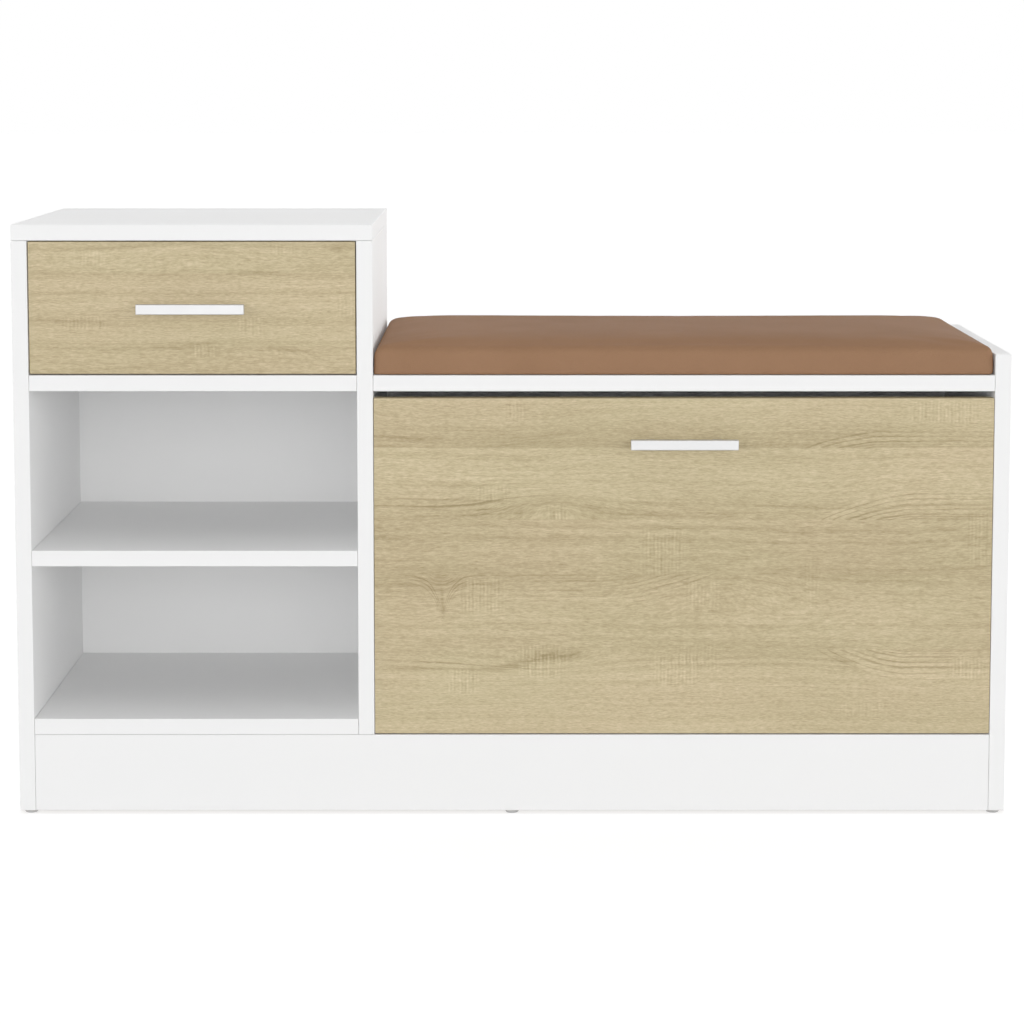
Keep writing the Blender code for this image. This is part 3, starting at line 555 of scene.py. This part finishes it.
def zinc(name, first, second, axis):
    """Zinc-plated steel. first and second span a screw head, where its cross recess is: drawn as
    relief, and painted near-black as painted shade in its hollow.
    """
    g = Graph(name)
    place = g.place()
    across = g.split(g.place("Generated"))
    facing = g.calc("ABSOLUTE", g.split(g.place("Normal"))[axis])
    u = g.calc("ABSOLUTE", g.sub(across[first], 0.5))
    v = g.calc("ABSOLUTE", g.sub(across[second], 0.5))
    bar = g.calc("LESS_THAN", g.calc("MINIMUM", u, v), 0.045)
    reach = g.calc("LESS_THAN", g.calc("MAXIMUM", u, v), 0.27)
    recess_and_painted_shade = g.mul(g.mul(bar, reach), g.calc("GREATER_THAN", facing, 0.95))
    cloud = g.noise(place, 700.0, 3.0)
    tone = g.mix(cloud, (0.56, 0.575, 0.60), (0.67, 0.675, 0.67))
    spangle = g.split(g.node("ShaderNodeTexVoronoi", {"Vector": place, "Scale": 1500.0})
                      .outputs["Color"])[0]
    tone = g.mix(g.mul(spangle, 0.15), tone, (0.74, 0.75, 0.76))
    # painted shade: the cross recess turns near-black, as the shade in its hollow
    tone = g.mix(recess_and_painted_shade, tone, (0.05, 0.05, 0.055))
    rough = g.add(g.fit(cloud, 0.3, 0.7, 0.28, 0.42), g.mul(recess_and_painted_shade, 0.3))
    return g.surface(Base_Color=tone, Metallic=1.0, Roughness=rough,
                     Normal=g.bump(g.sub(g.mul(spangle, 0.08), recess_and_painted_shade), 0.0003))


def moulded(name, first, second, rough, grain, depth):
    """Moulded plastic: an eroded mould's fine grain and faint flow clouds."""
    g = Graph(name)
    place = g.place()
    pits = g.noise(place, grain, 3.0, 0.6)
    flow = g.noise(g.scaled(place, (1.0, 1.0, 2.5)), 18.0, 3.0, 0.5, 0.6)
    tone = g.mix(g.add(g.mul(flow, 0.7), g.mul(pits, 0.3)), first, second)
    gloss = g.fit(g.add(g.mul(flow, 0.5), g.mul(pits, 0.5)), 0.3, 0.7, rough - 0.05, rough + 0.06)
    return g.surface(Base_Color=tone, Roughness=gloss, Specular_IOR_level=0.4,
                     Normal=g.bump(pits, depth))


# Cushion ------------------------------------------------------------------------------------

CUSHION_VOXEL = 0.005
CUSHION_SINK = 0.003         # how far the slab starts below its board, for a crisp foot
CUSHION_EDGE = 0.4492        # height of the top before it is filled
CUSHION_SWELL = 0.0070       # the most that the filling lifts the top
CUSHION_GIVE = 0.012         # the simulated lift at which it has risen by about two thirds
CUSHION_BULGE = 0.0006       # the most that a side moves
CUSHION_AIR = 0.0005         # between its ends and the boards beside it
CUSHION_CORNER, CUSHION_LIP = (0.004, 3), (0.009, 4)  # width and steps of the rounded edges
FILL_FRAMES = 20


def round_off(shape, edges, width, steps):
    bmesh.ops.bevel(shape, geom=edges, offset=width, segments=steps, profile=0.5,
                    affect="EDGES")


def start_slab(lo, hi):
    """The pad before it is filled: a slab with soft upper edges and upright corners."""
    shape = bmesh.new()
    bmesh.ops.create_cube(shape, size=1.0)
    for point in shape.verts:
        for axis in range(3):
            middle, span = (lo[axis] + hi[axis]) / 2, hi[axis] - lo[axis]
            point.co[axis] = middle + span * point.co[axis]
    upright = [e for e in shape.edges if abs(e.verts[0].co.z - e.verts[1].co.z) > 0.01]
    round_off(shape, upright, *CUSHION_CORNER)
    top = [e for e in shape.edges if all(p.co.z > hi[2] - 1e-4 for p in e.verts)]
    round_off(shape, top, *CUSHION_LIP)
    data = bpy.data.meshes.new("seat_cushion")
    shape.to_mesh(data)
    shape.free()
    item = bpy.data.objects.new("seat_cushion", data)
    bpy.context.scene.collection.objects.link(item)
    return item


def applied(item):
    """Replaces the item's mesh by its evaluated mesh and drops its modifiers."""
    depsgraph = bpy.context.evaluated_depsgraph_get()
    data = bpy.data.meshes.new_from_object(item.evaluated_get(depsgraph), depsgraph=depsgraph)
    item.modifiers.clear()
    old, item.data = item.data, data
    bpy.data.meshes.remove(old)
    data.name = item.name


def inflate(item, base):
    """Fills the pad by pressure, held where it lies on its board."""
    pins = item.vertex_groups.new(name="pins")
    for point in item.data.vertices:
        hold = 1.0 if point.co.z < base + 0.003 else 0.5 if point.co.z < base + 0.009 else 0.0
        if hold:
            pins.add([point.index], hold, "REPLACE")
    cloth = item.modifiers.new("fill", "CLOTH")
    settings = cloth.settings
    settings.quality = 6
    settings.mass = 0.35
    settings.tension_stiffness = 22.0
    settings.compression_stiffness = 22.0
    settings.shear_stiffness = 8.0
    settings.bending_stiffness = 1.2
    settings.use_pressure = True
    settings.uniform_pressure_force = 4.0
    settings.shrink_min = -0.004
    settings.vertex_group_mass = "pins"
    settings.effector_weights.gravity = 0.0
    cloth.collision_settings.use_collision = False
    scene = bpy.context.scene
    cloth.point_cache.frame_start, cloth.point_cache.frame_end = 1, FILL_FRAMES
    for frame_number in range(1, FILL_FRAMES + 1):
        scene.frame_set(frame_number)
    applied(item)
    scene.frame_set(1)


def settled(old, new, lo, ends):
    """Where a point comes to rest: the simulated move, eased off towards the most it may be."""
    move = new - old
    side = Vector((move.x, move.y))
    if side.length > 1e-6:
        side *= CUSHION_BULGE * math.tanh(side.length / CUSHION_BULGE) / side.length
    rise = CUSHION_SWELL * (1.0 - math.exp(-max(move.z, 0.0) / CUSHION_GIVE))
    share = min(max((old.z - lo.z) / (CUSHION_EDGE - lo.z), 0.0), 1.0)
    x = min(max(old.x + side.x, ends[0]), ends[1])
    return Vector((x, max(old.y + side.y, lo.y), max(old.z + rise * share, lo.z)))


def add_cushion(material):
    lo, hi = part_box("cushion_cover")
    ends = (high("middle_partition").x + CUSHION_AIR, low("right_side_panel").x - CUSHION_AIR)
    item = start_slab((ends[0], lo.y + 0.0002, lo.z - CUSHION_SINK),
                      (ends[1], hi.y - 0.0010, CUSHION_EDGE))
    remesh = item.modifiers.new("voxels", "REMESH")
    remesh.mode = "VOXEL"
    remesh.voxel_size = CUSHION_VOXEL
    applied(item)
    before = [point.co.copy() for point in item.data.vertices]
    inflate(item, lo.z)
    for point, old in zip(item.data.vertices, before):
        point.co = settled(old, point.co, lo, ends)
    shape = bmesh.new()
    shape.from_mesh(item.data)
    bmesh.ops.remove_doubles(shape, verts=shape.verts, dist=0.0006)
    shape.to_mesh(item.data)
    shape.free()
    smooth = item.modifiers.new("smooth", "SUBSURF")
    smooth.levels = smooth.render_levels = 1
    applied(item)
    item.data.shade_smooth()
    item.data.materials.clear()
    item.data.materials.append(material)
    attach(item, "carcass")
    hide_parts("cushion_cover", "cushion_foam")


def leather():
    """Brown coated leather: pebbled grain, a little cloudiness, and painted shade on the soft
    edges: a darker band where the surface turns from the sides to the top.
    """
    g = Graph("leather")
    place = g.place()
    warped = g.noise(place, 240.0, 2.0)
    cell = g.cells(place, 620.0, "DISTANCE_TO_EDGE")
    pebble = g.fit(cell, 0.0, 0.22, smooth=True)
    fine = g.noise(place, 2600.0, 2.0)
    cloud = g.noise(place, 14.0, 4.0, 0.55)
    tilt = g.split(g.place("Normal"))[2]
    # painted shade: a darker band on the rounding between the sides and the top, found by the
    # normal's tilt
    painted_edge_shade = g.mul(g.fit(tilt, 0.20, 0.70, smooth=True), g.fit(tilt, 0.995, 0.80, smooth=True))
    colour = g.mix(cloud, seen(154, 121, 96, 0.005), seen(164, 130, 104, 0.005))
    # the painted shade of the edge band, multiplied into the leather's colour
    colour = g.mix(g.mul(painted_edge_shade, 0.45), colour, g.mix(1.0, colour, (0.80, 0.78, 0.76), "MULTIPLY"))
    colour = g.mix(g.fit(cell, 0.0, 0.10, 0.35, 0.0), colour,
                   g.mix(1.0, colour, (0.78, 0.76, 0.74), "MULTIPLY"))
    height = g.total(g.mul(pebble, 0.8), g.mul(warped, 0.5), g.mul(fine, 0.15))
    rough = g.fit(g.add(g.mul(pebble, -0.3), cloud), 0.0, 0.8, 0.82, 0.72)
    return g.surface(Base_Color=colour, Roughness=rough, Specular_IOR_level=0.03,
                     Normal=g.bump(height, 0.00016))


def add_floor():
    """A pale floor, which the camera sees as plain white with the bench's soft shadow."""
    mesh = bpy.data.meshes.new("floor")
    shape = bmesh.new()
    bmesh.ops.create_circle(shape, cap_ends=True, radius=30.0, segments=128)
    shape.to_mesh(mesh)
    shape.free()
    floor = bpy.data.objects.new("floor", mesh)
    bpy.context.scene.collection.objects.link(floor)
    g = Graph("floor")
    mesh.materials.append(g.surface(
        Base_Color=(0.45, 0.45, 0.45), Roughness=0.9, Specular_IOR_level=0.0,
        Emission_Color=(1.0, 1.0, 1.0),
        Emission_Strength=camera_or(g.tree, FLOOR_SHOWN, FLOOR_LIGHT)))


def dress(material, *names):
    for name in names:
        NODES[name].material_slots[0].material = material


# Scene --------------------------------------------------------------------------------------

add_camera()
add_world()
add_area("front_softbox", (0.0, -3.3, 0.50), (0.0, 0.0, 0.33), (1.4, 0.9), 7.15)
add_area("right_softbox", (2.6, 0.1, 0.9), (0.0, 0.0, 0.45), (1.2, 1.2), 4.65)

dress(white_board(), "left_side_panel", "middle_partition", "right_side_panel", "top_panel",
      "upper_shelf", "middle_shelf", "left_bottom_panel", "right_bottom_panel", "front_plinth",
      "rear_plinth", "seat_board", "drawer_left_side", "drawer_right_side", "drawer_back")
dress(hardboard("hardboard_back", 1, -1.0), "left_back_panel", "right_back_panel")
dress(hardboard("hardboard_bottom", 2, 1.0), "drawer_bottom")
dress(fibreboard(), "cushion_base")
dress(satin_metal(), "drawer_handle", "flap_handle")
dress(coated_steel("rail_steel", (0.79, 0.79, 0.78), (0.83, 0.83, 0.82), 0.40, 0.00008),
      "cabinet_rail_left", "cabinet_rail_right", "drawer_rail_left", "drawer_rail_right")
dress(zinc("zinc_upright", 0, 1, 2), *[f"cushion_screw_{index}" for index in (1, 2, 3, 4)])
dress(zinc("zinc_level", 0, 2, 1), "drawer_handle_screw_1", "drawer_handle_screw_2",
      "flap_handle_screw_1", "flap_handle_screw_2")
dress(zinc("zinc_pins", 1, 2, 1), "pivot_pin_left", "pivot_pin_right", "stop_peg_left",
      "stop_peg_right")
dress(moulded("roller_plastic", (0.84, 0.84, 0.80), (0.90, 0.90, 0.87), 0.34, 900.0, 0.00003),
      "front_roller_left", "front_roller_right", "rear_roller_left", "rear_roller_right",
      "pivot_bush_left", "pivot_bush_right")
dress(moulded("rack_plastic", (0.040, 0.040, 0.041), (0.058, 0.058, 0.060), 0.50, 1700.0, 0.00012),
      "rack_cheek_left", "rack_cheek_right", "rack_lower_tray", "rack_upper_tray")
dress(moulded("glide_plastic", (0.40, 0.40, 0.40), (0.46, 0.46, 0.455), 0.55, 1500.0, 0.00010),
      *[f"glide_{row}_{place}" for row in ("front", "rear")
        for place in ("left", "middle", "right")])

FLAP_STAVES = (
    (0.0804, (0.72, 0.60, 0.65, 0.71, 0.58, 0.38)),
    (0.1528, (0.40, 0.52, 0.54, 0.51, 0.42, 0.27)),
    (0.2050, (0.30, 0.37, 0.42, 0.35, 0.46)),
    (0.2737, (0.38, 0.44, 0.64, 0.72, 0.64, 0.63)),
    (0.3207, (0.20, 0.33, 0.52, 0.60, 0.66)),
)
FLAP_GRAIN = {
    "bends": (
        (0.040, 0.2960, 0.055, 0.016, 0.016, 0.2835, 0.3522),
        (0.060, 0.3500, 0.060, 0.012, 0.010, 0.3522, 0.3992),
        (-0.067, 0.2250, 0.016, 0.018, -0.008, 0.1589, 0.2313),
        (0.030, 0.1480, 0.055, 0.014, -0.012, 0.0785, 0.1589),
        (0.200, 0.2300, 0.080, 0.030, 0.018, 0.1589, 0.2313),
    ),
    "streaks": (
        (-0.0660, 0.2060, 0.0017, 0.0110, 4.0, 0.85),
        (-0.0704, 0.2060, 0.0010, 0.0080, -4.0, 0.35),
        (-0.0670, 0.2270, 0.0110, 0.0036, 0.0, 0.50),
        (0.0440, 0.1530, 0.0240, 0.0040, 5.0, 0.95),
        (0.0080, 0.1460, 0.0300, 0.0022, 9.0, 0.62),
        (0.3140, 0.1485, 0.0160, 0.0056, -32.0, 0.45),
        (0.0200, 0.1490, 0.0220, 0.0036, 14.0, 0.26),
        (0.0000, 0.1410, 0.0200, 0.0022, 12.0, 0.24),
        (-0.0600, 0.1400, 0.0700, 0.0015, 0.0, 0.42),
        (-0.0150, 0.1530, 0.0300, 0.0018, -3.0, 0.24),
        (-0.0600, 0.3180, 0.0600, 0.0020, -2.0, 0.18),
        (-0.0550, 0.3025, 0.0650, 0.0010, -1.0, 0.40),
        (-0.0700, 0.2935, 0.0500, 0.0010, 0.0, 0.42),
        (-0.0150, 0.2945, 0.0500, 0.0010, 5.0, 0.42),
        (-0.0350, 0.2885, 0.0700, 0.0010, 2.0, 0.42),
        (0.1050, 0.2935, 0.0450, 0.0011, -5.0, 0.42),
        (0.1300, 0.2885, 0.0550, 0.0011, -2.0, 0.42),
        (0.2150, 0.2900, 0.0600, 0.0010, 0.0, 0.36),
        (-0.0200, 0.2215, 0.0600, 0.0010, 0.0, 0.34),
        (0.0250, 0.2165, 0.0600, 0.0010, -1.0, 0.30),
        (0.0450, 0.3040, 0.0300, 0.0022, 0.0, 0.22),
        (-0.0300, 0.2990, 0.0500, 0.0018, 5.0, 0.22),
        (0.1200, 0.2990, 0.0500, 0.0018, -5.0, 0.24),
        (0.2300, 0.2965, 0.0600, 0.0018, 1.0, 0.22),
        (0.0200, 0.3610, 0.0350, 0.0020, 9.0, 0.22),
        (-0.0900, 0.3600, 0.0300, 0.0018, -3.0, 0.20),
        (0.3300, 0.3690, 0.0500, 0.0020, 2.0, 0.18),
    ),
    "lined": (
        (-0.030, 0.2930, 0.130, 0.0090, 1.10), (0.320, 0.2900, 0.100, 0.0060, 0.35),
        (-0.070, 0.1460, 0.080, 0.0080, 0.80), (-0.060, 0.3590, 0.090, 0.0080, 0.80),
        (-0.050, 0.3730, 0.090, 0.0060, 0.60), (0.080, 0.2200, 0.070, 0.0090, 0.70),
        (-0.100, 0.2230, 0.040, 0.0090, 0.70), (0.330, 0.3570, 0.110, 0.0050, 0.80),
    ),
    "knots": ((-0.0660, 0.2313, 0.0085, 0.0380, 0.0040, 0.85),),
    "fans": (
        (0.3818, 0.1000, 0.2835, 0.0293, 0.0128, 0.85),
        (0.3487, 0.0760, 0.3524, 0.0170, 0.0140, 0.80),
        (0.3723, 0.0834, 0.1587, -0.0290, 0.0118, 0.90),
        (0.0850, -0.1150, 0.2311, -0.0300, 0.0150, 0.50),
    ),
    "saw": (
        (-0.018, 0.308, 0.018, 0.009, 0.55), (0.044, 0.291, 0.012, 0.009, 0.80),
        (0.143, 0.252, 0.024, 0.024, 0.75), (-0.029, 0.211, 0.024, 0.018, 0.80),
        (0.030, 0.148, 0.025, 0.016, 0.95), (-0.046, 0.129, 0.017, 0.013, 0.65),
        (0.156, 0.139, 0.024, 0.017, 0.75), (0.004, 0.387, 0.011, 0.010, 0.55),
        (0.409, 0.386, 0.036, 0.012, 0.75), (0.434, 0.141, 0.020, 0.011, 0.75),
        (0.178, 0.151, 0.022, 0.014, 0.60), (0.443, 0.266, 0.014, 0.028, 0.60),
        (0.181, 0.211, 0.018, 0.016, 0.55), (0.285, 0.222, 0.008, 0.026, 0.45),
        (0.335, 0.101, 0.026, 0.009, 0.35),
    ),
}
DRAWER_STAVES = (
    (0.0255, (0.42, 0.50, 0.52, 0.36)),
    (0.0505, (0.52, 0.60, 0.66, 0.60, 0.38)),
    (0.0942, (0.44, 0.60, 0.66, 0.58, 0.62, 0.40)),
    (0.1243, (0.50, 0.62, 0.60, 0.52)),
)
DRAWER_GRAIN = {
    "bends": (
        (-0.235, 0.4460, 0.050, 0.010, 0.005, 0.4225, 0.4480),
        (-0.300, 0.5350, 0.070, 0.014, 0.006, 0.5167, 0.5468),
    ),
    "streaks": (
        (-0.2320, 0.5172, 0.0350, 0.0021, 0.0, 0.34),
        (-0.4150, 0.4720, 0.0300, 0.0028, -3.0, 0.32),
        (-0.3000, 0.4500, 0.0300, 0.0023, 6.0, 0.28),
        (-0.2140, 0.4465, 0.0250, 0.0021, -8.0, 0.34),
        (-0.1600, 0.5415, 0.0140, 0.0028, 5.0, 0.34),
        (-0.2880, 0.5435, 0.0120, 0.0028, -12.0, 0.34),
        (-0.4000, 0.4940, 0.0450, 0.0018, 2.0, 0.22),
        (-0.1850, 0.4965, 0.0350, 0.0018, 4.0, 0.22),
        (-0.4300, 0.5180, 0.0300, 0.0018, 0.0, 0.22),
        (-0.3600, 0.4290, 0.0400, 0.0018, 4.0, 0.20),
    ),
    "lined": ((-0.250, 0.4490, 0.080, 0.0050, 0.30), (-0.400, 0.4960, 0.080, 0.0040, 0.30)),
    "knots": (),
    "fans": (),
    "saw": (
        (-0.402, 0.4705, 0.022, 0.007, 0.70), (-0.289, 0.4440, 0.014, 0.007, 0.60),
        (-0.246, 0.4680, 0.014, 0.010, 0.45), (-0.157, 0.4860, 0.009, 0.012, 0.55),
        (-0.395, 0.5310, 0.020, 0.008, 0.40), (-0.215, 0.5400, 0.014, 0.006, 0.40),
    ),
}
dress(oak_board("oak_flap", high("flap_front").z - 0.3207, 0.3207, FLAP_STAVES, FLAP_GRAIN, 1.7,
                0.016), "flap_front")
dress(oak_board("oak_drawer", low("drawer_front").z, 0.1243, DRAWER_STAVES, DRAWER_GRAIN, 5.3,
                0.007), "drawer_front")
add_cushion(leather())

add_floor()
view = bpy.context.scene.view_settings
view.view_transform = "Standard"
view.gamma = DISPLAY_GAMMA
